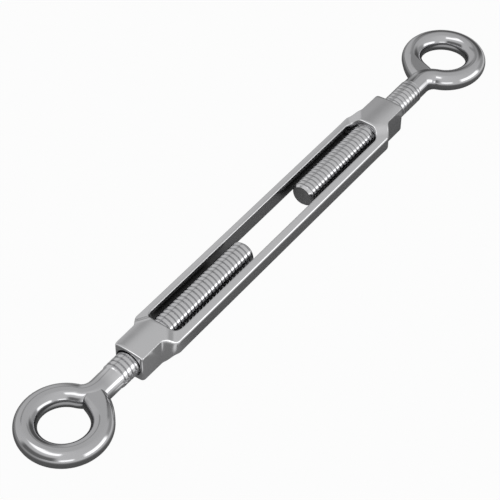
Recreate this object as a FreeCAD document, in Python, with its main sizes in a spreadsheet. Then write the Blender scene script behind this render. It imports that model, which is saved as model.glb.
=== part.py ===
# Open-body rigging screw with two bent eye bolts, lying flat on the bosses of its frame.
# X runs along the screw, +Z is up, and the origin is the middle of the frame on the screw's axis.
import FreeCAD, Part
import math
import os

import Sketcher

V = FreeCAD.Vector
doc = FreeCAD.newDocument("rigging_screw")

# Driving dimensions, in millimetres and degrees
SIZES = {
    "frame_length": 105.6,
    "frame_width": 12.7,
    "boss_width": 8.0,
    "boss_height": 8.0,
    "rail_height": 5.6,
    "crown_radius": 26.6,
    "slot_length": 83.2,
    "slot_width": 8.7,
    "slot_corner": 2.0,
    "collar_diameter": 7.9,
    "shoulder_gap": 0.5,
    "shoulder_run": 4.3,
    "edge_bevel": 0.3,
    "bore_chamfer": 0.3,
    "thread_diameter": 6.35,
    "thread_clearance": 0.05,
    "bolt_reach": 65.0,
    "tip_chamfer": 0.6,
    "eye_radius": 8.4,
    "eye_rod": 5.3,
    "bend_radius": 4.7,
    "leg_rod": 6.1,
    "leg_radius": 12.6,
    "leg_angle": 50.0,
    "leg_turn": 38.0,
    "near_extension": 21.9,
    "far_extension": 26.1,
}
sheet = doc.addObject("Spreadsheet::Sheet", "Sizes")
for row, (alias, value) in enumerate(SIZES.items(), start=1):
    sheet.set(f"A{row}", alias)
    sheet.set(f"B{row}", str(value))
    sheet.setAlias(f"B{row}", alias)
doc.recompute()

# The shoulder starts a little beyond the end of the slot, so a longer slot moves it outwards
SHOULDER_AT = "(Sizes.slot_length / 2 + Sizes.shoulder_gap)"
SHOULDER_END = f"({SHOULDER_AT} + Sizes.shoulder_run)"

# Room that a cutting outline takes beyond the metal that it removes
SPARE = 3.0

# How near two places on the metal count as the same place
TOUCH = 0.02

# The crown's cut swings this far about its axis, in degrees, which passes both sides of the frame
CROWN_SWEEP = 90.0
FULL_TURN = 360.0

# The two ends and the centre of a line or an arc in a sketch
START, END, CENTRE = range(1, 4)
SKETCH_ORIGIN = (-1, START)


def size(alias):
    """One driving dimension, read back from the sheet."""
    return float(sheet.get(alias))


def shoulder_start():
    """Where the shoulder starts along X."""
    return size("slot_length") / 2 + size("shoulder_gap")


def origin_part(body, role):
    """One of the planes or axes of the body's own origin."""
    return next(item for item in body.Origin.OriginFeatures if item.Role == role)


def new_sketch(body, name, role):
    """An empty sketch on one of the body's own origin planes."""
    sketch = body.newObject("Sketcher::SketchObject", name)
    sketch.AttachmentSupport = [(origin_part(body, role), "")]
    sketch.MapMode = "FlatFace"
    return sketch


def new_feature(body, kind, name, profile, **settings):
    """A feature of the body made from a sketch."""
    feature = body.newObject(f"PartDesign::{kind}", name)
    feature.Profile = profile
    for setting, value in settings.items():
        setattr(feature, setting, value)
    return feature


def relate(sketch, kind, *where):
    """A constraint with no value."""
    sketch.addConstraint(Sketcher.Constraint(kind, *where))


def measure(sketch, name, kind, where, value, expression):
    """A named constraint that follows an expression on the sheet."""
    index = sketch.addConstraint(Sketcher.Constraint(kind, *where, value))
    sketch.renameConstraint(index, name)
    sketch.setExpression(f"Constraints.{name}", expression)


def place_point(sketch, name, point, x, x_expression, y, y_expression):
    """Fix a point of the sketch by its distances from the sketch's origin."""
    measure(sketch, f"{name}_x", "DistanceX", (*SKETCH_ORIGIN, *point), x, x_expression)
    measure(sketch, f"{name}_y", "DistanceY", (*SKETCH_ORIGIN, *point), y, y_expression)


def add_lines(sketch, corners):
    """Straight lines from corner to corner, joined where they meet; gives the first line's number."""
    first = sketch.GeometryCount
    for start, end in zip(corners, corners[1:]):
        sketch.addGeometry(Part.LineSegment(V(*start, 0), V(*end, 0)), False)
    for line in range(first, sketch.GeometryCount - 1):
        relate(sketch, "Coincident", line, END, line + 1, START)
    return first


def rectangle(sketch, half_x, x_expression, half_y, y_expression):
    """A rectangle centred on the sketch's origin."""
    corners = [(-half_x, -half_y), (half_x, -half_y), (half_x, half_y), (-half_x, half_y), (-half_x, -half_y)]
    first = add_lines(sketch, corners)
    relate(sketch, "Coincident", first + 3, END, first, START)
    for line in (first, first + 2):
        relate(sketch, "Horizontal", line)
    for line in (first + 1, first + 3):
        relate(sketch, "Vertical", line)
    place_point(sketch, "corner", (first + 1, END), half_x, x_expression, half_y, y_expression)
    relate(sketch, "Symmetric", first, START, first + 1, END, *SKETCH_ORIGIN)


def centred_circle(sketch, radius, expression):
    """A circle about the sketch's origin."""
    circle = sketch.addGeometry(Part.Circle(V(0, 0, 0), V(0, 0, 1), radius))
    relate(sketch, "Coincident", circle, CENTRE, *SKETCH_ORIGIN)
    measure(sketch, "radius", "Radius", (circle,), radius, expression)


def shoulder_cut(sketch, start, first_level, second_level, first_expression, second_expression):
    """Outline of the metal that is cut away above a shoulder's curve.

    From start the upper edge follows first_level, swings over through two equal arcs along the
    shoulder's run, and follows second_level to past the end of the frame.
    """
    shoulder_at, run = shoulder_start(), size("shoulder_run")
    past = size("frame_length") / 2 + SPARE
    top = max(first_level, second_level) + SPARE
    drop = abs(first_level - second_level)
    bend = (run * run + drop * drop) / (4 * drop)
    sweep = math.asin(run / (2 * bend))
    side = 1 if second_level > first_level else -1
    quarter = math.pi / 2
    first_circle = Part.Circle(V(shoulder_at, first_level + side * bend, 0), V(0, 0, 1), bend)
    second_circle = Part.Circle(V(shoulder_at + run, second_level - side * bend, 0), V(0, 0, 1), bend)
    if side > 0:
        first_arc = sketch.addGeometry(Part.ArcOfCircle(first_circle, -quarter, sweep - quarter))
        second_arc = sketch.addGeometry(Part.ArcOfCircle(second_circle, quarter, quarter + sweep))
        outer, middle = START, END
    else:
        first_arc = sketch.addGeometry(Part.ArcOfCircle(first_circle, quarter - sweep, quarter))
        second_arc = sketch.addGeometry(Part.ArcOfCircle(second_circle, -quarter - sweep, -quarter))
        outer, middle = END, START
    relate(sketch, "Tangent", first_arc, middle, second_arc, middle)
    relate(sketch, "Equal", first_arc, second_arc)
    relate(sketch, "Vertical", first_arc, CENTRE, first_arc, outer)
    relate(sketch, "Vertical", second_arc, CENTRE, second_arc, outer)
    corners = [(shoulder_at + run, second_level), (past, second_level), (past, top), (start, top)]
    corners.append((start, first_level))
    if start < shoulder_at:
        corners.append((shoulder_at, first_level))
    first = add_lines(sketch, corners)
    last = sketch.GeometryCount - 1
    relate(sketch, "Coincident", first, START, second_arc, outer)
    relate(sketch, "Coincident", last, END, first_arc, outer)
    for line in range(first, last + 1):
        relate(sketch, "Vertical" if (line - first) % 2 else "Horizontal", line)
    length = "Sizes.frame_length / 2"
    place_point(sketch, "low_end", (first_arc, outer), shoulder_at, SHOULDER_AT,
                first_level, first_expression)
    place_point(sketch, "high_end", (second_arc, outer), shoulder_at + run, SHOULDER_END,
                second_level, second_expression)
    measure(sketch, "past_end", "DistanceX", (*SKETCH_ORIGIN, first + 1, START), past, f"{length} + {SPARE}")
    measure(sketch, "past_top", "DistanceY", (*SKETCH_ORIGIN, first + 2, START), top,
            f"max({first_expression}; {second_expression}) + {SPARE}")
    if start < shoulder_at:
        measure(sketch, "middle", "DistanceX", (*SKETCH_ORIGIN, first + 3, START), start, f"{start}")


def mirrored_copies(body, feature, name, first_plane, second_plane):
    """The feature repeated by reflection in two of the body's origin planes."""
    copies = body.newObject("PartDesign::MultiTransform", name)
    copies.Originals = [feature]
    mirrors = []
    for number, role in enumerate((first_plane, second_plane), start=1):
        mirror = body.newObject("PartDesign::Mirrored", f"{name}_{number}")
        mirror.MirrorPlane = (origin_part(body, role), [""])
        mirrors.append(mirror)
    copies.Transformations = mirrors
    body.Tip = copies
    return copies


def edge_names(shape, wanted):
    """Names of the edges for which wanted says yes."""
    return [f"Edge{number}" for number, edge in enumerate(shape.Edges, start=1) if wanted(edge)]


def middle_of(edge):
    """The point half way along an edge, by its parameter."""
    return edge.valueAt((edge.FirstParameter + edge.LastParameter) / 2)


def bevel_edges(body, name, wanted, size_name):
    """A bevel on the chosen edges of what the body holds so far."""
    doc.recompute()
    base = body.Tip
    feature = body.newObject("PartDesign::Chamfer", name)
    feature.Base = (base, edge_names(base.Shape, wanted))
    feature.setExpression("Size", f"Sizes.{size_name}")
    return feature


def make_frame():
    """The open frame: two rails that join a bored boss at each end, forged as one piece."""
    body = doc.addObject("PartDesign::Body", "frame")
    body.Label = "frame"
    half_length = size("frame_length") / 2

    blank = new_sketch(body, "blank_outline", "XY_Plane")
    rectangle(blank, half_length, "Sizes.frame_length / 2", size("frame_width") / 2, "Sizes.frame_width / 2")
    pad = new_feature(body, "Pad", "blank", blank, SideType="Symmetric")
    pad.setExpression("Length", f"Sizes.boss_height + {SPARE}")

    # In plan the sides draw in from the rails to the narrower bosses
    waist = new_sketch(body, "waist_outline", "XY_Plane")
    shoulder_cut(waist, shoulder_start(), size("frame_width") / 2, size("boss_width") / 2,
                 "Sizes.frame_width / 2", "Sizes.boss_width / 2")
    waist_cut = new_feature(body, "Pocket", "waist", waist, SideType="Symmetric", Type="ThroughAll")
    mirrored_copies(body, waist_cut, "waists", "XZ_Plane", "YZ_Plane")

    # From the side the frame rises from the rails to the taller bosses, and it is crowned across
    crown = new_sketch(body, "crown_outline", "XZ_Plane")
    shoulder_cut(crown, 0.0, size("rail_height") / 2, size("boss_height") / 2,
                 "Sizes.rail_height / 2", "Sizes.boss_height / 2")
    centre_drop = size("crown_radius") - size("boss_height") / 2
    axis = crown.addGeometry(Part.LineSegment(V(0, -centre_drop, 0), V(half_length, -centre_drop, 0)), True)
    relate(crown, "Horizontal", axis)
    measure(crown, "axis_end", "DistanceX", (*SKETCH_ORIGIN, axis, END), half_length,
            "Sizes.frame_length / 2")
    relate(crown, "PointOnObject", axis, START, -2)
    measure(crown, "axis_depth", "DistanceY", (axis, START, *SKETCH_ORIGIN), centre_drop,
            "Sizes.crown_radius - Sizes.boss_height / 2")
    crown_cut = new_feature(body, "Groove", "crown", crown, ReferenceAxis=(crown, ["Axis0"]), Midplane=True)
    crown_cut.Angle = CROWN_SWEEP
    mirrored_copies(body, crown_cut, "crowns", "XY_Plane", "YZ_Plane")

    # A round collar of metal about each bore carries the boss's height on to the end of the slot
    collar = new_sketch(body, "collar_outline", "YZ_Plane")
    centred_circle(collar, size("collar_diameter") / 2, "Sizes.collar_diameter / 2")
    collars = new_feature(body, "Pad", "collars", collar, SideType="Symmetric")
    collars.setExpression("Length", f"2 * {SHOULDER_END}")

    slot = new_sketch(body, "slot_outline", "XY_Plane")
    rounded_slot(slot)
    new_feature(body, "Pocket", "slot", slot, SideType="Symmetric", Type="ThroughAll")

    bore = new_sketch(body, "bore_outline", "YZ_Plane")
    radius = size("thread_diameter") / 2 + size("thread_clearance")
    centred_circle(bore, radius, "Sizes.thread_diameter / 2 + Sizes.thread_clearance")
    new_feature(body, "Pocket", "bores", bore, SideType="Symmetric", Type="ThroughAll")

    def is_bore_rim(edge):
        on_end = abs(abs(middle_of(edge).x) - half_length) < TOUCH
        is_circle = edge.Curve.TypeId == "Part::GeomCircle"
        return on_end and is_circle and abs(edge.Curve.Radius - radius) < TOUCH

    def is_outer_edge(edge):
        middle = middle_of(edge)
        across, along = abs(middle.y), abs(middle.x)
        if along > half_length - TOUCH:
            return math.hypot(middle.y, middle.z) > radius + size("bore_chamfer") + TOUCH
        beside_slot = along < size("slot_length") / 2 and across < size("slot_width") / 2 + TOUCH
        return across > size("boss_width") / 2 - TOUCH and not beside_slot

    bevel_edges(body, "bore_mouths", is_bore_rim, "bore_chamfer")
    bevel_edges(body, "outer_edges", is_outer_edge, "edge_bevel")
    return body


def rounded_slot(sketch):
    """The long opening between the rails, with rounded corners."""
    half_x, half_y, corner = size("slot_length") / 2, size("slot_width") / 2, size("slot_corner")
    inner_x, inner_y = half_x - corner, half_y - corner
    arcs = []
    for number, (side_x, side_y) in enumerate(((1, 1), (-1, 1), (-1, -1), (1, -1))):
        circle = Part.Circle(V(side_x * inner_x, side_y * inner_y, 0), V(0, 0, 1), corner)
        first_angle = number * math.pi / 2
        arcs.append(sketch.addGeometry(Part.ArcOfCircle(circle, first_angle, first_angle + math.pi / 2)))
    lines = []
    for number in range(4):
        arc, following = arcs[number], arcs[(number + 1) % 4]
        line = Part.LineSegment(sketch.getPoint(arc, END), sketch.getPoint(following, START))
        lines.append(sketch.addGeometry(line))
    for number in range(4):
        relate(sketch, "Tangent", arcs[number], END, lines[number], START)
        relate(sketch, "Tangent", lines[number], END, arcs[(number + 1) % 4], START)
        if number:
            relate(sketch, "Equal", arcs[0], arcs[number])
        relate(sketch, "Vertical" if number % 2 else "Horizontal", lines[number])
    measure(sketch, "corner", "Radius", (arcs[0],), corner, "Sizes.slot_corner")
    place_point(sketch, "centre", (arcs[0], CENTRE), inner_x, "Sizes.slot_length / 2 - Sizes.slot_corner",
                inner_y, "Sizes.slot_width / 2 - Sizes.slot_corner")
    relate(sketch, "Symmetric", arcs[0], CENTRE, arcs[2], CENTRE, *SKETCH_ORIGIN)


# Where the shank starts to bend, so that the bend's arc is tangent to shank and eye alike
BEND_AT = "sqrt(Sizes.eye_radius * (Sizes.eye_radius + 2 * Sizes.bend_radius))"
# The direction, seen from the eye's centre, in which bend and eye meet
MEET_ANGLE = f"atan(Sizes.bend_radius / {BEND_AT})"


def turned_circle(body, name, centre, centre_expressions, arm, arm_expression, turn, turn_expression,
                  radius, radius_expression):
    """A circle square to an arc of the rod's path.

    centre is the arc's own centre, arm its radius, and turn the circle's place along it.
    """
    sketch = new_sketch(body, name, "XZ_Plane")
    turned = FreeCAD.Rotation(V(0, 1, 0), turn)
    sketch.AttachmentOffset = FreeCAD.Placement(V(centre[0], 0, -centre[1]), turned)
    sketch.setExpression("AttachmentOffset.Base.x", centre_expressions[0])
    sketch.setExpression("AttachmentOffset.Base.z", f"-({centre_expressions[1]})")
    sketch.setExpression("AttachmentOffset.Rotation.Angle", turn_expression)
    circle = sketch.addGeometry(Part.Circle(V(arm, 0, 0), V(0, 0, 1), radius))
    relate(sketch, "PointOnObject", circle, CENTRE, -1)
    measure(sketch, "arm", "DistanceX", (*SKETCH_ORIGIN, circle, CENTRE), arm, arm_expression)
    measure(sketch, "radius", "Radius", (circle,), radius, radius_expression)
    return sketch


def path_arc(body, name, centre, centre_expressions, radius, radius_expression, angles,
             start, start_expressions, end, end_expressions):
    """An arc of the rod's path, held by its centre, its radius and the places of its ends."""
    sketch = new_sketch(body, name, "XY_Plane")
    circle = Part.Circle(V(*centre, 0), V(0, 0, 1), radius)
    arc = sketch.addGeometry(Part.ArcOfCircle(circle, math.radians(angles[0]), math.radians(angles[1])))
    if centre == (0, 0):
        relate(sketch, "Coincident", arc, CENTRE, *SKETCH_ORIGIN)
    else:
        place_point(sketch, "centre", (arc, CENTRE), centre[0], centre_expressions[0],
                    centre[1], centre_expressions[1])
    measure(sketch, "radius", "Radius", (arc,), radius, radius_expression)
    measure(sketch, "start", f"Distance{start_expressions[0]}", (*SKETCH_ORIGIN, arc, START), start,
            start_expressions[1])
    measure(sketch, "end", f"Distance{end_expressions[0]}", (*SKETCH_ORIGIN, arc, END), end,
            end_expressions[1])
    return sketch


def make_eye_bolt(name):
    """A threaded rod bent into a closed eye, with the eye's centre at the body's origin."""
    body = doc.addObject("PartDesign::Body", name)
    body.Label = name
    eye, bend, reach = size("eye_radius"), size("bend_radius"), size("bolt_reach")
    shank, rod, leg_rod = size("thread_diameter") / 2, size("eye_rod") / 2, size("leg_rod") / 2
    bend_at = math.sqrt(eye * (eye + 2 * bend))
    meet = math.degrees(math.atan(bend / bend_at))

    outline = new_sketch(body, f"{name}_shank_outline", "XZ_Plane")
    chamfer = size("tip_chamfer")
    corners = [(bend_at, 0), (reach, 0), (reach, shank - chamfer), (reach - chamfer, shank), (bend_at, shank)]
    first = add_lines(outline, corners + corners[:1])
    relate(outline, "Coincident", first + 4, END, first, START)
    relate(outline, "PointOnObject", first, START, -1)
    relate(outline, "Horizontal", first)
    relate(outline, "Horizontal", first + 3)
    relate(outline, "Vertical", first + 1)
    relate(outline, "Vertical", first + 4)
    measure(outline, "bend_at", "DistanceX", (*SKETCH_ORIGIN, first, START), bend_at, BEND_AT)
    place_point(outline, "rim", (first + 2, START), reach, "Sizes.bolt_reach",
                shank - chamfer, "Sizes.thread_diameter / 2 - Sizes.tip_chamfer")
    place_point(outline, "side", (first + 3, START), reach - chamfer, "Sizes.bolt_reach - Sizes.tip_chamfer",
                shank, "Sizes.thread_diameter / 2")
    turned = new_feature(body, "Revolution", f"{name}_shank", outline,
                         ReferenceAxis=(origin_part(body, "X_Axis"), [""]))
    turned.Angle = FULL_TURN

    # The bend swings the rod off the shank's axis on to the eye's circle, and thins it on the way
    bend_centre = (bend_at, bend)
    bend_names = (BEND_AT, "Sizes.bend_radius")
    bend_path = path_arc(body, f"{name}_bend_path", bend_centre, bend_names, bend, "Sizes.bend_radius",
                         (180 + meet, 270), eye * math.cos(math.radians(meet)),
                         ("X", f"Sizes.eye_radius * cos({MEET_ANGLE})"), bend_at, ("X", BEND_AT))
    bend_start = turned_circle(body, f"{name}_bend_start", bend_centre, bend_names, bend, "Sizes.bend_radius",
                               270, "270", shank, "Sizes.thread_diameter / 2")
    bend_end = turned_circle(body, f"{name}_bend_end", bend_centre, bend_names, bend, "Sizes.bend_radius",
                             180 + meet, f"180 deg + {MEET_ANGLE}", rod, "Sizes.eye_rod / 2")
    new_feature(body, "AdditivePipe", f"{name}_bend", bend_start, Spine=bend_path, Sections=[bend_end],
                Transformation="Multisection", Mode="Frenet")

    # The eye runs round from the bend to the leg
    leg, leg_angle, leg_turn = size("leg_radius"), size("leg_angle"), size("leg_turn")
    leg_start_y = -eye * math.sin(math.radians(leg_angle))
    leg_start_name = "-Sizes.eye_radius * sin(Sizes.leg_angle)"
    eye_path = path_arc(body, f"{name}_eye_path", (0, 0), ("0", "0"), eye, "Sizes.eye_radius",
                        (meet, 360 - leg_angle), eye * math.cos(math.radians(meet)),
                        ("X", f"Sizes.eye_radius * cos({MEET_ANGLE})"), leg_start_y, ("Y", leg_start_name))
    section = turned_circle(body, f"{name}_eye_section", (0, 0), ("0", "0"), eye, "Sizes.eye_radius",
                            meet, MEET_ANGLE, rod, "Sizes.eye_rod / 2")
    new_feature(body, "AdditivePipe", f"{name}_eye", section, Spine=eye_path, Mode="Frenet")

    # The leg closes the eye: it thickens a little and ends inside the bend, where it is welded
    offset = leg - eye
    leg_centre = (-offset * math.cos(math.radians(leg_angle)), offset * math.sin(math.radians(leg_angle)))
    leg_names = ("-(Sizes.leg_radius - Sizes.eye_radius) * cos(Sizes.leg_angle)",
                 "(Sizes.leg_radius - Sizes.eye_radius) * sin(Sizes.leg_angle)")
    end_angle = leg_turn - leg_angle
    leg_end_y = leg_centre[1] + leg * math.sin(math.radians(end_angle))
    leg_path = path_arc(body, f"{name}_leg_path", leg_centre, leg_names, leg, "Sizes.leg_radius",
                        (-leg_angle, end_angle), leg_start_y, ("Y", leg_start_name), leg_end_y,
                        ("Y", f"{leg_names[1]} + Sizes.leg_radius * sin(Sizes.leg_turn - Sizes.leg_angle)"))
    leg_start = turned_circle(body, f"{name}_leg_start", leg_centre, leg_names, leg, "Sizes.leg_radius",
                              -leg_angle, "-Sizes.leg_angle", rod, "Sizes.eye_rod / 2")
    leg_end = turned_circle(body, f"{name}_leg_end", leg_centre, leg_names, leg, "Sizes.leg_radius",
                            end_angle, "Sizes.leg_turn - Sizes.leg_angle", leg_rod, "Sizes.leg_rod / 2")
    new_feature(body, "AdditivePipe", f"{name}_leg", leg_start, Spine=leg_path, Sections=[leg_end],
                Transformation="Multisection", Mode="Frenet")
    return body


frame = make_frame()
near_bolt = make_eye_bolt("right_hand_eye_bolt")
near_bolt.Placement = FreeCAD.Placement(V(0, 0, 0), FreeCAD.Rotation(V(0, 0, 1), 0))
near_bolt.setExpression("Placement.Base.x", "-(Sizes.frame_length / 2 + Sizes.near_extension)")
far_bolt = make_eye_bolt("left_hand_eye_bolt")
far_bolt.Placement = FreeCAD.Placement(V(0, 0, 0), FreeCAD.Rotation(V(0, 0, 1), 180))
far_bolt.setExpression("Placement.Base.x", "Sizes.frame_length / 2 + Sizes.far_extension")
doc.recompute()

for item in doc.Objects:
    if "Invalid" in item.State or "Error" in item.State:
        raise RuntimeError(f"{item.Label} failed: {item.State} {item.getStatusString()}")

os.makedirs("parts", exist_ok=True)
for body in (frame, near_bolt, far_bolt):
    shape = body.Shape
    if shape.isNull() or not shape.isValid() or len(shape.Solids) != 1:
        raise RuntimeError(f"{body.Label} is not one valid solid")
    shape.exportStep(f"parts/{body.Label}.step")
    print(f"{body.Label}: {shape.Volume:.1f} mm3 in {len(shape.Faces)} faces")
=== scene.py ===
# %% [markdown]
# # An open-body rigging screw in polished stainless steel
# A rigging screw tightens a wire. Its long open frame has a bored boss at each end, and a bolt
# with an eye is screwed into each boss. One thread is right-handed and the other left-handed, so
# turning the frame draws both eyes in. We start by loading the solids that everything else is
# built around.

# %% Load the solids
import math

import bpy
import numpy as np
from mathutils import Matrix, Vector


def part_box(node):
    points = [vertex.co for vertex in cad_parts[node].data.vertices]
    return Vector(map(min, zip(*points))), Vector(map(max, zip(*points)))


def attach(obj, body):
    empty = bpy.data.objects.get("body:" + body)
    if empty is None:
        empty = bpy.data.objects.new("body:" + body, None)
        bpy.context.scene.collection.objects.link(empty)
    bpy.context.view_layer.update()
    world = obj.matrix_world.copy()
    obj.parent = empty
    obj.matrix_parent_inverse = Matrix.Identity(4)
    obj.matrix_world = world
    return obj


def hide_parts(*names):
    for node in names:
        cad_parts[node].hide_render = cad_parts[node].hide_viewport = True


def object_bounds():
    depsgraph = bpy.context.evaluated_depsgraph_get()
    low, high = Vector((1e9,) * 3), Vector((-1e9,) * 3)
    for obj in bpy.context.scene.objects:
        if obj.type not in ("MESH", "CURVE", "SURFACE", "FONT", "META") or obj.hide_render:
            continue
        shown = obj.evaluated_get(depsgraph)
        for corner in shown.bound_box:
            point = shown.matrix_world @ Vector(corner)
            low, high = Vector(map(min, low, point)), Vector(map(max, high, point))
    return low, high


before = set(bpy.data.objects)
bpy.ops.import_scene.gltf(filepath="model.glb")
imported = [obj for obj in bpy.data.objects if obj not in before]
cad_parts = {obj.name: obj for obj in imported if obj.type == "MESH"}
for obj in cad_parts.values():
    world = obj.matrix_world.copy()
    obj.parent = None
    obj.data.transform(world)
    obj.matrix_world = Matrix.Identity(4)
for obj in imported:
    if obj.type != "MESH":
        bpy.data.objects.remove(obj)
cad_low, cad_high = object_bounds()
MM = 0.001
print("solids:", sorted(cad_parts))
print("their size in mm:", [round(length / MM, 2) for length in cad_high - cad_low])

# %% [markdown]
# ## The sizes that the pieces share
# All shapes below are worked out in millimetres and turned into metres when the mesh is made. The
# bolts and the frame meet at the thread, so its sizes come first. A quarter-inch coarse thread
# has twenty turns to the inch, which is a pitch of 1.27 mm. Each bolt lies where its solid lies:
# the eye's centre is one eye's reach in from the far end of that solid.

# %% Shared sizes, in millimetres
THREAD_RADIUS = 3.175
THREAD_PITCH = 1.27
THREAD_DEPTH = 0.45
FRAME_HALF_LENGTH = 52.8
EYE_REACH = 11.05  # from the centre of an eye to its outer edge
NEAR_EYE_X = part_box("right_hand_eye_bolt")[0].x / MM + EYE_REACH
FAR_EYE_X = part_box("left_hand_eye_bolt")[1].x / MM - EYE_REACH
print("eye centres along X:", round(NEAR_EYE_X, 2), round(FAR_EYE_X, 2))

# %% [markdown]
# ## From rows of points to a mesh
# Every piece here is a skin over rows of points: a rod is rows of circles, and the frame is rows
# of its cross-section. A helper joins each row to the next with four-sided faces. Where rows meet
# at an end their points fall together, and merging them leaves a clean closed skin.


# %% A skin over rows of points
MERGE, CREASE = 0.0005, 38.0  # millimetres and degrees


def skin(name, rows, close_rows=False, caps=False):
    """A mesh over rows of points, each row a closed loop.

    close_rows joins the last row to the first, and caps closes the first and the last row."""
    rows = np.asarray(rows, dtype=float)
    count, loop = rows.shape[:2]
    index = np.arange(count * loop).reshape(count, loop)
    following = np.roll(index, -1, axis=0) if close_rows else index[1:]
    first = index if close_rows else index[:-1]
    faces = np.stack([first, np.roll(first, -1, 1), np.roll(following, -1, 1), following], axis=-1)
    faces = faces.reshape(-1, 4).tolist()
    if caps:
        faces.append(index[0][::-1].tolist())
        faces.append(index[-1].tolist())
    mesh = bpy.data.meshes.new(name)
    mesh.from_pydata((rows.reshape(-1, 3) * MM).tolist(), [], faces)
    piece = bpy.data.objects.new(name, mesh)
    bpy.context.scene.collection.objects.link(piece)
    return piece


def tidy_mesh(piece, crease=CREASE):
    """Merge points that fall together, turn the faces outwards and shade smooth up to a crease."""
    bpy.ops.object.select_all(action="DESELECT")
    bpy.context.view_layer.objects.active = piece
    piece.select_set(True)
    bpy.ops.object.mode_set(mode="EDIT")
    bpy.ops.mesh.select_all(action="SELECT")
    bpy.ops.mesh.remove_doubles(threshold=MERGE * MM)
    bpy.ops.mesh.dissolve_degenerate(threshold=MERGE * MM / 2)
    bpy.ops.mesh.normals_make_consistent(inside=False)
    bpy.ops.object.mode_set(mode="OBJECT")
    bpy.ops.object.shade_smooth_by_angle(angle=math.radians(crease))
    piece.select_set(False)
    triangles = sum(len(face.vertices) - 2 for face in piece.data.polygons)
    print(piece.name, "has", triangles, "triangles")


print("points within", MERGE, "mm merge, and edges over", CREASE, "degrees stay sharp")

# %% [markdown]
# ## The frame
# The real frame is forged in one piece: two rails join a taller, narrower boss at each end, and
# the top is slightly crowned. It could be cut from blocks with booleans, but those leave hard
# edges. We follow the slot's outline instead, and at each step draw one closed section across the
# metal, so every edge can be rounded the way a forging is.

# %% The frame's outlines seen from above
RAIL_SIDE, BOSS_SIDE = 6.35, 4.0
SHOULDER_AT, SHOULDER_RUN = 42.1, 4.3
SLOT_END, SLOT_SIDE, SLOT_CORNER = 41.8, 4.35, 3.0
CORNER_ROUND = 0.7
STRAIGHT = 38.0  # the rails are straight up to here
CORNER_POINTS = 24


def ease(t):
    """A smooth swing from 0 to 1."""
    t = np.clip(t, 0.0, 1.0)
    return t * t * (3.0 - 2.0 * t)


def soft_ease(t):
    """A swing from 0 to 1 that is smoother still at both ends."""
    t = np.clip(t, 0.0, 1.0)
    return t ** 3 * (t * (6.0 * t - 15.0) + 10.0)


def shoulder(x):
    """0 along the rails and 1 along the boss."""
    return ease((np.abs(x) - SHOULDER_AT) / SHOULDER_RUN)


def evenly(points, count):
    """count points at equal steps along a line through points."""
    points = np.asarray(points)
    steps = np.r_[0.0, np.cumsum(np.linalg.norm(np.diff(points, axis=0), axis=1))]
    at = np.linspace(0.0, steps[-1], count)
    return np.c_[np.interp(at, steps, points[:, 0]), np.interp(at, steps, points[:, 1])]


def corner(centre_x, centre_y, radius):
    """A quarter circle from the top of a corner round to its right."""
    turn = np.linspace(math.pi / 2, 0.0, CORNER_POINTS)
    return np.c_[centre_x + radius * np.cos(turn), centre_y + radius * np.sin(turn)]


print("the boss begins", SHOULDER_AT + SHOULDER_RUN, "mm from the middle")

# %% A quarter of each outline, from the middle of the rail to the end of the frame
SIDE_POINTS, QUARTER_POINTS, RAIL_POINTS = 200, 190, 19
along = np.linspace(STRAIGHT, FRAME_HALF_LENGTH - CORNER_ROUND, SIDE_POINTS)
outer_side = np.c_[along, RAIL_SIDE + (BOSS_SIDE - RAIL_SIDE) * shoulder(along)]
outer_corner = corner(FRAME_HALF_LENGTH - CORNER_ROUND, BOSS_SIDE - CORNER_ROUND, CORNER_ROUND)
outer_end = np.r_[outer_side, outer_corner, [[FRAME_HALF_LENGTH, 0.0]]]
inner_corner = corner(SLOT_END - SLOT_CORNER, SLOT_SIDE - SLOT_CORNER, SLOT_CORNER)
inner_end = np.r_[[[STRAIGHT, SLOT_SIDE]], inner_corner, [[SLOT_END, 0.0]]]
rail_x = np.linspace(0.0, STRAIGHT, RAIL_POINTS + 1)[:-1]


def with_rail(side, end):
    """The straight rail at a distance from the middle, and then the outline's end."""
    return np.r_[np.c_[rail_x, np.full(RAIL_POINTS, side)], evenly(end, QUARTER_POINTS)]


def all_round(quarter):
    """The whole outline from one quarter of it, by reflection."""
    half = np.r_[quarter, (quarter * [1, -1])[::-1][1:]]
    return np.r_[half, (half * [-1, 1])[::-1][1:-1]]


outer = all_round(with_rail(RAIL_SIDE, outer_end))
inner = all_round(with_rail(SLOT_SIDE, inner_end))
print("sections round the frame:", len(outer))

# %% [markdown]
# ## The crowned top and its step
# The whole top is crowned across the frame. The boss is taller than the rails and keeps its
# height up to the slot. It falls to the rails across a soft step, which runs slantwise from the
# shoulder to the corner of the slot. A displacement or a sculpted step would do it too, but a
# height for each place in plan is exact and easy to change.

# %% The height of the top
CROWN_RADIUS = 26.6
RAIL_TOP, BOSS_TOP = 2.8, 3.99
STEP_X, STEP_Y = 41.6, 3.2
STEP_SLANT = math.radians(36.0)
STEP_WIDTH = 3.4


def top_height(x, y):
    """Half the frame's thickness at a place in plan."""
    crown = CROWN_RADIUS - np.sqrt(CROWN_RADIUS ** 2 - y ** 2)
    outwards, lengthwise = np.abs(y) - STEP_Y, np.abs(x) - STEP_X
    beyond = math.cos(STEP_SLANT) * outwards - math.sin(STEP_SLANT) * lengthwise
    return BOSS_TOP - crown - (BOSS_TOP - RAIL_TOP) * soft_ease(beyond / STEP_WIDTH + 0.5)


rail_height, boss_height = top_height(0.0, RAIL_SIDE), top_height(FRAME_HALF_LENGTH, 0.0)
print("top of a rail and of a boss:", round(rail_height, 2), round(boss_height, 2))

# %% [markdown]
# ## The closed section
# A forging has no sharp edge. Each section starts on the slot's wall, goes round a small arc,
# over the top, round a second arc and down the outer wall, and comes back underneath. The same
# number of points on every section lets the skin helper join them.

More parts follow.
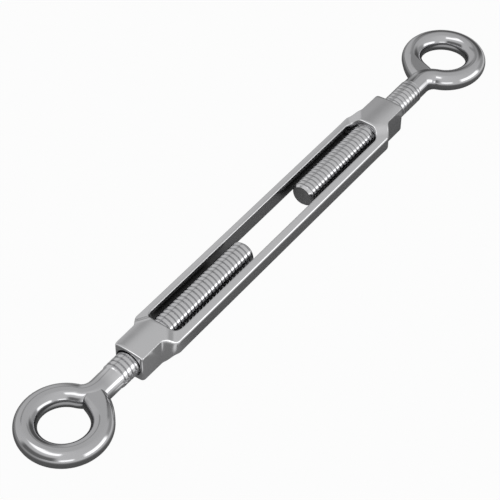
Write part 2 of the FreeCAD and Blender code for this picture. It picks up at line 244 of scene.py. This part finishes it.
# %% The sections of the frame
OUTER_ROUND, INNER_ROUND = 0.5, 0.45
ROUND_STEPS, TOP_STEPS, WALL_STEPS = 7, 22, 6


def half_section(start, end):
    """Points over the top from the slot's wall to the outer wall, one section for each row."""
    length = np.linalg.norm(end - start, axis=1)[:, None]
    bend = np.linspace(0.0, math.pi / 2, ROUND_STEPS)
    rise, drop = 1 - np.cos(bend), 1 - np.sin(bend)
    near = INNER_ROUND * rise[None, :] / length
    far = 1 - OUTER_ROUND * rise[None, ::-1] / length
    across = np.linspace(0.0, 1.0, TOP_STEPS + 2)[None, 1:-1]
    middle = near[:, -1:] + (far[:, :1] - near[:, -1:]) * across
    place = np.concatenate([near, middle, far], axis=1)
    sunk = np.concatenate([INNER_ROUND * drop, np.zeros(TOP_STEPS), OUTER_ROUND * drop[::-1]])
    x = start[:, :1] + place * (end - start)[:, :1]
    y = start[:, 1:] + place * (end - start)[:, 1:]
    return np.stack([x, y, top_height(x, y) - sunk[None, :]], axis=-1)


top = half_section(inner, outer)
bottom = top[:, ::-1] * [1, 1, -1]
fall = np.linspace(0.0, 1.0, WALL_STEPS + 2)[1:-1][None, :, None]
outer_wall = top[:, -1:] + (bottom[:, :1] - top[:, -1:]) * fall
inner_wall = bottom[:, -1:] + (top[:, :1] - bottom[:, -1:]) * fall
sections = np.concatenate([top, outer_wall, bottom, inner_wall], axis=1)
forging = skin("frame_forging", sections, close_rows=True)
print("points on each section:", sections.shape[1])

# %% [markdown]
# ## The bores
# Each boss is drilled along the screw's axis and countersunk at its mouth, which shows as a dark
# ring round the bolt. Only here is a boolean used, because a drill makes exactly this cut.

# %% Drill and countersink both bosses
BORE_RADIUS, MOUTH_RADIUS, MOUTH_DEPTH, LIP = 3.225, 3.5, 1.2, 0.08
CONE_DEPTH = 0.3                # from the bore to the wider mouth
INTO_SLOT, PAST_END = 6.0, 1.0  # how far the drill runs past the metal at each end
FRAME_CREASE = 32.0
MOUTH_AT = FRAME_HALF_LENGTH - MOUTH_DEPTH
bore_profile = [
    (SLOT_END - INTO_SLOT, BORE_RADIUS),
    (MOUTH_AT - CONE_DEPTH, BORE_RADIUS),
    (MOUTH_AT, MOUTH_RADIUS),
    (FRAME_HALF_LENGTH - LIP, MOUTH_RADIUS),
    (FRAME_HALF_LENGTH + PAST_END, MOUTH_RADIUS + LIP + PAST_END),
]
DRILL_POINTS = 128
turn = np.linspace(0.0, 2 * math.pi, DRILL_POINTS, endpoint=False)
circle = np.c_[np.zeros(DRILL_POINTS), np.cos(turn), np.sin(turn)]
for side in (-1, 1):
    rows = [circle * radius + [side * x, 0, 0] for x, radius in bore_profile]
    drill = skin("drill", rows, caps=True)
    tidy_mesh(drill)
    cut = forging.modifiers.new("bore", "BOOLEAN")
    cut.operation, cut.solver, cut.object = "DIFFERENCE", "EXACT", drill
    bpy.context.view_layer.objects.active = forging
    bpy.ops.object.modifier_apply(modifier="bore")
    bpy.data.objects.remove(drill, do_unlink=True)
tidy_mesh(forging, crease=FRAME_CREASE)

# %% [markdown]
# ## The bolts
# A bolt is one rod: a rolled thread, a plain shank, a bend and an eye. The rod goes once round
# the eye and ends in a leg that lies against the shank, where it is welded. A curve with a round
# bevel would draw the rod, but not its swollen, flattened leg, so we send circles along the
# centre line.

# %% The rod's centre line from the shank round the eye to the end of its leg
EYE_RADIUS, EYE_ROD = 8.4, 2.65
BEND_RADIUS = 4.7
BEND_AT = math.sqrt(EYE_RADIUS * (EYE_RADIUS + 2 * BEND_RADIUS))  # where the bend meets the shank
MEET = math.atan(BEND_RADIUS / BEND_AT)                           # where the bend meets the eye
LEG_ANGLE, LEG_TURN = math.radians(50.0), math.radians(38.0)
LEG_ROD, LEG_RADIUS = 3.1, 12.6
LEG_SHIFT = LEG_RADIUS - EYE_RADIUS
LEG_DOME, LEG_DOME_AT = 0.7, 0.80  # the leg's end is rounded off over the last fifth of its length
LEG_FLAT = 2.45                    # half the leg's height at its end, where it is ground flat


def arc_rows(centre, radius, start, end, rod, points, inwards=1):
    """Circles of the rod, one for each of its radii, square to an arc in the plane of the eye."""
    angle = np.linspace(start, end, len(rod))
    out = np.c_[np.cos(angle), np.sin(angle), np.zeros(len(rod))]
    middle = np.array([centre[0], centre[1], 0.0]) + out * radius
    across = inwards * out[:, None, :] * np.cos(points)[None, :, None]
    upright = np.array([0, 0, 1.0])[None, None, :] * np.sin(points)[None, :, None]
    return middle[:, None, :] + (across + upright) * rod[:, None, None]


print("centre line: bend from", round(BEND_AT, 2), "mm, eye radius", EYE_RADIUS, "mm")

# %% [markdown]
# ## The thread
# A rolled thread has broad, slightly rounded crests with a narrow groove between them. A bump map
# would show the grooves but leave the outline smooth. Here the circles become turns of a helix,
# so that crest and groove each lie on a row of points and stay crisp from every side.

# %% The thread's form
CREST_SHARE, CREST_FALL = 0.62, 0.04  # the crest's share of a turn, and of the depth
FLANK_POINTS = 6
SHANK_RADIUS = 2.98
BOLT_REACH, TIP_CHAMFER = 65.0, 0.6
RUNOUT = 0.4 * THREAD_PITCH           # over this length the first turn rises from the shank
flank = np.linspace(CREST_SHARE / 2, 0.5, FLANK_POINTS)
half_turn = np.r_[0.0, CREST_SHARE / 4, flank]
turn_share = np.r_[half_turn, 1 - half_turn[1:-1][::-1]]
from_crest = np.minimum(turn_share, 1 - turn_share) * 2
down_flank = ease((from_crest - CREST_SHARE) / (1 - CREST_SHARE))
thread_fall = CREST_FALL * from_crest ** 2 + (1 - CREST_FALL) * down_flank
print("rows of points in each turn:", len(turn_share))


def thread_rows(start, hand, points):
    """Rows of a thread from start to the bolt's tip; hand is 1 for right and -1 for left."""
    turns = int((BOLT_REACH - start) / THREAD_PITCH) + 3
    along = (np.arange(turns)[:, None] + turn_share[None, :]).ravel()
    lead = THREAD_PITCH * (along[:, None] - 1 + hand * points[None, :] / (2 * math.pi))
    lead -= THREAD_PITCH if hand > 0 else 0
    x = np.clip(start + lead, start, BOLT_REACH)
    form = THREAD_RADIUS - THREAD_DEPTH * np.tile(thread_fall, turns)[:, None]
    tip = THREAD_RADIUS - np.maximum(x - (BOLT_REACH - TIP_CHAMFER), 0.0)
    radius = np.minimum(SHANK_RADIUS + (form - SHANK_RADIUS) * ease((x - start) / RUNOUT), tip)
    across, upright = -np.cos(points)[None, :], np.sin(points)[None, :]
    return np.stack([x, radius * across, radius * upright], axis=-1)


# %% [markdown]
# ## One bolt, twice
# Both bolts are the same but for the hand of the thread and where it starts, so one function
# makes them. The left-hand bolt is then turned half round, so that its eye points the other way.
# The turn and the move go into the mesh itself, which leaves each object at the frame's origin.

# %% The rod's parts
ROUND_POINTS = 96
LEG_ROWS, EYE_ROWS, BEND_ROWS = 60, 150, 40
points = np.linspace(0.0, 2 * math.pi, ROUND_POINTS, endpoint=False)


def bend_rows():
    """From the eye to the shank, where the rod grows to the shank's thickness."""
    rod = EYE_ROD + (SHANK_RADIUS - EYE_ROD) * ease(np.linspace(0, 1, BEND_ROWS))
    centre = (BEND_AT, BEND_RADIUS)
    return arc_rows(centre, BEND_RADIUS, math.pi + MEET, 1.5 * math.pi, rod, points)


def eye_rows():
    """Round the eye from its leg to the bend."""
    rod = np.full(EYE_ROWS, EYE_ROD)
    return arc_rows((0, 0), EYE_RADIUS, 2 * math.pi - LEG_ANGLE, MEET, rod, points, -1)


def leg_rows():
    """The leg from its end to the eye: a wider arc that swells, is rounded off and ground flat."""
    centre = (-LEG_SHIFT * math.cos(LEG_ANGLE), LEG_SHIFT * math.sin(LEG_ANGLE))
    out = np.linspace(1, 0, LEG_ROWS)
    dome = LEG_DOME * np.maximum((out - LEG_DOME_AT) / (1 - LEG_DOME_AT), 0) ** 2
    rod = EYE_ROD + (LEG_ROD - EYE_ROD) * ease(out / LEG_DOME_AT) - dome
    leg = arc_rows(centre, LEG_RADIUS, LEG_TURN - LEG_ANGLE, -LEG_ANGLE, rod, points, -1)
    flat = LEG_FLAT + (EYE_ROD - LEG_FLAT) * np.linspace(0, 1, LEG_ROWS)[:, None]
    leg[..., 2] = np.clip(leg[..., 2], -flat, flat)
    return leg


print("circles along leg, eye and bend:", LEG_ROWS, EYE_ROWS, BEND_ROWS)

# %% Build both bolts and put them in their places
RIGHT_THREAD_AT, LEFT_THREAD_AT = 16.4, 15.6  # from the centre of the eye
BOLT_CREASE = 40.0


def make_bolt(name, hand, thread_start, eye_x, turn):
    """An eye bolt, drawn with its shank along +X, then turned about Z and moved along X."""
    thread = thread_rows(thread_start, hand, points)
    rows = np.concatenate([leg_rows(), eye_rows()[1:], bend_rows()[1:], thread])
    bolt = skin(name, rows, caps=True)
    tidy_mesh(bolt, crease=BOLT_CREASE)
    bolt.data.transform(Matrix.Translation((eye_x * MM, 0, 0)) @ Matrix.Rotation(turn, 4, "Z"))
    return bolt


right_hand_bolt = make_bolt("right_hand_bolt", 1, RIGHT_THREAD_AT, NEAR_EYE_X, 0.0)
left_hand_bolt = make_bolt("left_hand_bolt", -1, LEFT_THREAD_AT, FAR_EYE_X, math.pi)

# %% [markdown]
# ## Shader maths in Python
# A material is a graph of nodes. It can be wired by hand or node by node in a script, but its
# arithmetic is easier to read as Python expressions. So a small class wraps a socket and turns
# each operator into a Math node, and a second one adds any other node.


# %% A socket that can be calculated with
class Value:
    """One number that varies over the surface."""

    def __init__(self, graph, socket):
        self.graph, self.socket = graph, socket

    def _math(self, operation, *inputs):
        return self.graph.node("ShaderNodeMath", {"operation": operation}, dict(enumerate(inputs)))

    def __add__(self, other):
        return self._math("ADD", self, other)

    def __sub__(self, other):
        return self._math("SUBTRACT", self, other)

    def __rsub__(self, other):
        return self._math("SUBTRACT", other, self)

    def __mul__(self, other):
        return self._math("MULTIPLY", self, other)

    __radd__ = __add__
    __rmul__ = __mul__

    def size(self):
        """The number without its sign."""
        return self._math("ABSOLUTE", self)

    def at_least(self, other):
        return self._math("MAXIMUM", self, other)

    def at_most(self, other):
        return self._math("MINIMUM", self, other)


operators = [name for name in vars(Value) if name.endswith(("add__", "sub__", "mul__"))]
print("a value understands", operators)


# %% A graph of nodes
class Graph:
    """The node graph of one material or of the world."""

    def __init__(self, owner):
        owner.use_nodes = True
        self.tree = owner.node_tree
        self.tree.nodes.clear()

    def node(self, kind, settings=None, inputs=None, output=0):
        """Add a node: its settings first, then the values or links of its sockets."""
        node = self.tree.nodes.new(kind)
        for setting, value in (settings or {}).items():
            setattr(node, setting, value)
        for socket, value in (inputs or {}).items():
            if isinstance(value, Value):
                self.tree.links.new(value.socket, node.inputs[socket])
            else:
                node.inputs[socket].default_value = value
        return Value(self, node.outputs[output]) if node.outputs else node

    def ray(self, kind):
        """1 where the ray that looks is of this kind, otherwise 0."""
        path = self.node("ShaderNodeLightPath")
        return Value(self, path.socket.node.outputs[f"Is {kind} Ray"])

    def edge(self, value, start, end):
        """A soft step from 0 at start to 1 at end."""
        return self.node("ShaderNodeMapRange", {"interpolation_type": "SMOOTHSTEP"},
                         {"Value": value, "From Min": start, "From Max": end})

    def part(self, vector, axis):
        """One of a vector's three numbers: 0 is X, 1 is Y and 2 is Z."""
        return self.node("ShaderNodeSeparateXYZ", {}, {0: vector}, output=axis)

    def length(self, x, y):
        """The length of a line that runs x one way and y the other."""
        line = self.node("ShaderNodeCombineXYZ", {}, {0: x, 1: y})
        return self.node("ShaderNodeVectorMath", {"operation": "LENGTH"}, {0: line}, output=1)

    def along(self, vector, x, y):
        """How far a vector goes in a level direction."""
        return self.node("ShaderNodeVectorMath", {"operation": "DOT_PRODUCT"},
                         {0: vector, 1: (x, y, 0.0)}, output=1)

    def mix(self, share, first, second):
        """The first colour where share is 0 and the second where it is 1."""
        return self.node("ShaderNodeMix", {"data_type": "RGBA"},
                         {0: share, 6: first, 7: second}, output=2)

    def noise(self, where, scale):
        """Noise of a given number of lumps to the metre."""
        return self.node("ShaderNodeTexNoise", {}, {"Vector": where, "Scale": scale, "Detail": 3.0})


print("a graph can add", [name for name in vars(Graph) if not name.startswith("_")])

# %% [markdown]
# ## Polished stainless steel
# Stainless rigging is cast or forged, then tumbled and polished. It isn't a mirror: fine
# scratches soften what it reflects, and handling leaves slightly duller patches. An image of
# scratches would do, but noise in the object's own coordinates fits any shape. So the metal has a
# light grey colour, a roughness that drifts a little, and a very shallow bump for the polishing
# marks. The bolts' steel is lighter along the thread than at the eye, so it changes along the
# screw.

# %% The steel's material
PATCH_SCALE, SCRATCH_SCALE = 260.0, 2600.0
PATCH_DULL, SCRATCH_DULL = 0.06, 0.04  # how far each of them moves the roughness
PATCH_SHADE = 0.95                     # how much of its colour a handled patch keeps
MARK_HEIGHT = 0.00002
THREAD_BRIGHT = (0.0625, 0.0590)       # metres from the middle, from the dull eye to the thread


def opaque(colour):
    """A colour that hides what is behind it."""
    return (*colour, 1.0)


def steel(name, colour, roughness, grain, marks, thread_colour=None):
    """A polished steel; grain draws its polishing marks out along X, Y and Z."""
    material = bpy.data.materials.new(name)
    graph = Graph(material)
    place_on = graph.node("ShaderNodeTexCoord", output=3)
    drawn = graph.node("ShaderNodeMapping", {}, {"Vector": place_on, "Scale": grain})
    patches = graph.noise(place_on, PATCH_SCALE)
    scratches = graph.noise(drawn, SCRATCH_SCALE)
    dull = roughness + (patches - 0.5) * PATCH_DULL + (scratches - 0.5) * SCRATCH_DULL
    shade = graph.mix(patches, opaque([c * PATCH_SHADE for c in colour]), opaque(colour))
    if thread_colour:
        on_thread = graph.edge(graph.part(place_on, 0).size(), *THREAD_BRIGHT)
        shade = graph.mix(on_thread, shade, opaque(thread_colour))
    relief = graph.node("ShaderNodeBump", {}, {
        "Height": scratches, "Strength": marks, "Distance": MARK_HEIGHT})
    surface = graph.node("ShaderNodeBsdfPrincipled", {}, {
        "Base Color": shade, "Metallic": 1.0, "Roughness": dull, "Normal": relief})
    graph.node("ShaderNodeOutputMaterial", {}, {"Surface": surface})
    print(name, "has", len(material.node_tree.nodes), "nodes")
    return material


FRAME_COLOUR, EYE_COLOUR, THREAD_COLOUR = (0.65, 0.65, 0.66), (0.51, 0.51, 0.52), (0.64, 0.64, 0.65)
frame_steel = steel("frame_steel_polish", FRAME_COLOUR,
                    roughness=0.15, grain=(0.03, 1.0, 1.0), marks=0.10)
bolt_steel = steel("bolt_steel_polish", EYE_COLOUR,
                   roughness=0.10, grain=(1.0, 0.2, 0.2), marks=0.05, thread_colour=THREAD_COLOUR)

# %% [markdown]
# ## Which piece rides on which body
# Each piece gets its steel and is tied to the body that carries it when the bolts slide. It also
# takes the place of the plain solid that it was built around, which is hidden from then on.

# %% Finish the pieces and tie them to their bodies
for piece, finish, slot, body, node in (
        (forging, frame_steel, "frame_steel", "frame", "frame"),
        (right_hand_bolt, bolt_steel, "bolt_steel", "right_hand_eye_bolt", "right_hand_eye_bolt"),
        (left_hand_bolt, bolt_steel, "bolt_steel", "left_hand_eye_bolt", "left_hand_eye_bolt")):
    piece.data.materials.append(finish)
    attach(piece, body)
    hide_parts(node)
    print(piece.name, "rides on", body, "in", slot)

# %% [markdown]
# ## The studio floor
# Polished metal shows its surroundings, so the surroundings are half of the finish. The photo's
# background is a white cut-out, yet its metal reflects something dark close to itself. A grey
# table would give the reflections and lose the white. So the floor glows nearly white for the
# camera, and reflections see a painted picture instead: a painted shadow, drawn by the distance
# from the frame and the eyes, and a painted glow beyond it.

# %% The floor, and distances on it in metres
FLOOR_SIZE = 3.0
FRAME_END, FRAME_SIDE = FRAME_HALF_LENGTH * MM, RAIL_SIDE * MM
EYE_CENTRE = 0.0768  # halfway between the two eyes' distances from the middle
bpy.ops.mesh.primitive_plane_add(size=FLOOR_SIZE, location=(0, 0, cad_low.z))
floor = bpy.context.object
floor.name = "floor"
floor_paint = bpy.data.materials.new("floor_white_painted_shade")
graph = Graph(floor_paint)
spot = graph.node("ShaderNodeTexCoord", output=3)
spot_x, spot_y = graph.part(spot, 0), graph.part(spot, 1)
past_end = (spot_x.size() - FRAME_END).at_least(0.0)
past_side = (spot_y.size() - FRAME_SIDE).at_least(0.0)
from_frame = graph.length(past_end, past_side)
from_eye = graph.length(spot_x.size() - EYE_CENTRE, spot_y)
print("floor at", round(cad_low.z / MM, 2), "mm")

# %% [markdown]
# ## Painted shadow and painted light close to the metal
# In reflections the floor carries a painted shadow: darkest under the object, clearing with the
# distance. Painted glows make it lighter in the hole of each eye and a little lighter round the
# near boss. Two small patches of painted light beside that boss draw the bright line on its corner
# and the stripes on its shoulder. A strip of painted shade in the slot is darker still, beside
# both bolts but not between their tips. Painting this by hand would do too, but soft steps by
# distance are enough, because the metal blurs whatever it reflects.

# %% How dark the painted shadow on the floor is at each spot
SHADE_FROM, FRAME_SHADE_TO, EYE_SHADE_TO = 0.004, 0.0066, 0.022
EYE_EDGE, NEAR_BOSS_X = 0.011, -0.047
# Each pair is where a soft step starts and where it is complete.
SLOT_ENDS, BOLT_TIPS, SLOT_WALLS = (0.046, 0.040), (0.013, 0.017), (0.0042, 0.0012)
HOLE_EDGE, BOSS_EDGE = (0.0062, 0.0030), (0.014, 0.004)
PATCH_EDGE = (1.4, 0.6)  # in sizes of the patch
SHADE_LEAST, HOLE_GLOW, BOSS_GLOW, PATCH_GLOW = 0.03, 0.50, 0.12, 0.65
# Each patch of painted light has its place in X and Y, and its size along X and Y.
PAINTED_LIGHT_PATCHES = ((-0.0558, -0.0075, 0.0020, 0.0020), (-0.0449, -0.0107, 0.0009, 0.0024))
# Painted shadow in reflections: dark at the outlines of the frame and the eyes, clear further off.
clear = graph.edge(from_frame, SHADE_FROM, FRAME_SHADE_TO)
clear = clear.at_most(graph.edge(from_eye - EYE_EDGE, SHADE_FROM, EYE_SHADE_TO))
# A strip of painted shade in the slot, beside both bolts but not between their tips.
slot_shade = graph.edge(spot_x.size(), *SLOT_ENDS) * graph.edge(spot_x.size(), *BOLT_TIPS)
slot_shade = slot_shade * graph.edge(spot_y.size(), *SLOT_WALLS)
# The painted shadow at its darkest, lifted by painted glows in the eyes' holes and round the near
# boss.
least = SHADE_LEAST - slot_shade * SHADE_LEAST + graph.edge(from_eye, *HOLE_EDGE) * HOLE_GLOW
least = least + graph.edge((spot_x - NEAR_BOSS_X).size(), *BOSS_EDGE) * BOSS_GLOW
# Patches of painted light that draw the near boss's corner line and shoulder stripes in
# reflections.
for patch_x, patch_y, size_x, size_y in PAINTED_LIGHT_PATCHES:
    from_patch = graph.length((spot_x - patch_x) * (1 / size_x), (spot_y - patch_y) * (1 / size_y))
    least = least + graph.edge(from_patch, *PATCH_EDGE) * PATCH_GLOW
print("light patches on the floor:", len(PAINTED_LIGHT_PATCHES))

# %% The floor's material
GREY, DARK, WHITE = opaque([0.16] * 3), opaque([0.01] * 3), opaque([1.0] * 3)
GLOW_SEEN, GLOW_FAR, GLOW_NEAR = 0.97, 0.30, 0.85
FAR_TO_NEAR = (0.03, -0.03)
# A painted glow seen in reflections beyond the painted shadow, brighter on the near side.
glow_clear_of_shadow = graph.edge(spot_y, *FAR_TO_NEAR) * (GLOW_NEAR - GLOW_FAR) + GLOW_FAR
reflected = clear * (glow_clear_of_shadow - least) + least
in_metal = (graph.ray("Glossy") + graph.ray("Transmission")) * reflected
shown = graph.ray("Camera") * GLOW_SEEN + in_metal
lit = graph.node("ShaderNodeBsdfDiffuse", {}, {"Color": GREY})
# The slot's painted shade: a near-black floor where the rails and bolts would shade it.
shaded = graph.node("ShaderNodeBsdfDiffuse", {}, {"Color": DARK})
glow = graph.node("ShaderNodeEmission", {}, {"Color": WHITE, "Strength": 1.0})
lit = graph.node("ShaderNodeMixShader", {}, {0: slot_shade, 1: lit, 2: shaded})
mixed = graph.node("ShaderNodeMixShader", {}, {0: shown, 1: lit, 2: glow})
graph.node("ShaderNodeOutputMaterial", {}, {"Surface": mixed})
floor.data.materials.append(floor_paint)
print("floor has", len(floor_paint.node_tree.nodes), "nodes")

# %% [markdown]
# ## The sky
# The world is a soft grey sky with darker and brighter windows, and no lamp is needed. Bright
# windows draw the white lines along rounded edges, and dark ones give the rods their dark bands.
# An image of a studio would be richer, but windows can be placed exactly: each was found by
# following a highlight or a dark band of the photo to the part of the sky that it reflects.

# %% A window in the sky
world = bpy.data.worlds.new("studio")
bpy.context.scene.world = world
graph = Graph(world)
direction = graph.node("ShaderNodeTexCoord")
level = graph.node("ShaderNodeVectorMath", {"operation": "MULTIPLY"},
                   {0: direction, 1: (1.0, 1.0, 0.0)})
level = graph.node("ShaderNodeVectorMath", {"operation": "NORMALIZE"}, {0: level})
height = graph.part(direction, 2)


def window(bearing, half_width, bottom, top, soft):
    """1 inside a part of the sky, given by bearing and height in degrees, with soft edges."""
    heading = math.radians(bearing)
    toward = graph.along(level, math.cos(heading), math.sin(heading))
    widths = (half_width + soft, half_width - soft)
    heights = (bottom - soft, bottom + soft, top + soft, top - soft)
    cosine = [math.cos(math.radians(angle)) for angle in widths]
    sine = [math.sin(math.radians(angle)) for angle in heights]
    inside = graph.edge(toward, *cosine) * graph.edge(height, *sine[:2])
    return inside * graph.edge(height, *sine[2:])


print("the world has", len(world.node_tree.nodes), "nodes before its windows")

# %% The sky with its windows
SKY, SKY_DRIFT, DRIFT_X, DRIFT_Y = 0.78, 0.09, 0.87, 0.5
BELOW = -30  # a window that goes on under the horizon
# Bearing, half width, bottom, top and softness in degrees, and then how much darker or brighter.
DARKER = (
    (17, 22, BELOW, 34, 9, 0.8),
    (-25, 14, BELOW, 26, 9, 0.35),
    (165, 37, BELOW, 32, 8, 0.75),
    (48, 30, 38, 44, 3, 0.45),
)
BRIGHTER = (
    (155, 52, 54, 72, 5, 1.3),
    (-74, 27, BELOW, 25, 5, 1.4),
    (-137, 13, BELOW, 14, 4, 1.2),
)
sky = SKY - graph.along(level, DRIFT_X, DRIFT_Y) * SKY_DRIFT
for *opening, amount in DARKER:
    sky = sky * (1 - window(*opening) * amount)
for *opening, amount in BRIGHTER:
    sky = sky + window(*opening) * amount
light = graph.node("ShaderNodeBackground", {}, {"Color": sky, "Strength": 1.0})
graph.node("ShaderNodeOutputWorld", {}, {"Surface": light})
print("windows:", len(DARKER), "dark and", len(BRIGHTER), "bright")

# %% [markdown]
# ## The camera
# The photograph was taken with a long lens from the left front, about 45 degrees above the screw,
# and its picture is turned by half a degree. A camera can be aimed by its angles or by a
# constraint, but here its three axes are given directly, so the turn is kept.

# %% Camera
camera_data = bpy.data.cameras.new("camera")
camera_data.sensor_width = 36.0
camera_data.lens = 125.04
camera_data.clip_start, camera_data.clip_end = 0.01, 20.0
camera = bpy.data.objects.new("camera", camera_data)
bpy.context.scene.collection.objects.link(camera)
CAMERA_AT = Vector((-0.240606, -0.169335, 0.292331))
right = Vector((0.592835, -0.805298, 0.006423))
up = Vector((0.572137, 0.426775, 0.700373))
back = Vector((-0.566750, -0.411531, 0.713748))
axes = Matrix((right, up, back)).transposed().to_4x4()
camera.matrix_world = Matrix.Translation(CAMERA_AT) @ axes
bpy.context.scene.camera = camera
bpy.context.scene.view_settings.view_transform = "Standard"
print("camera is", round(CAMERA_AT.length, 3), "m from the middle of the screw")

# %% [markdown]
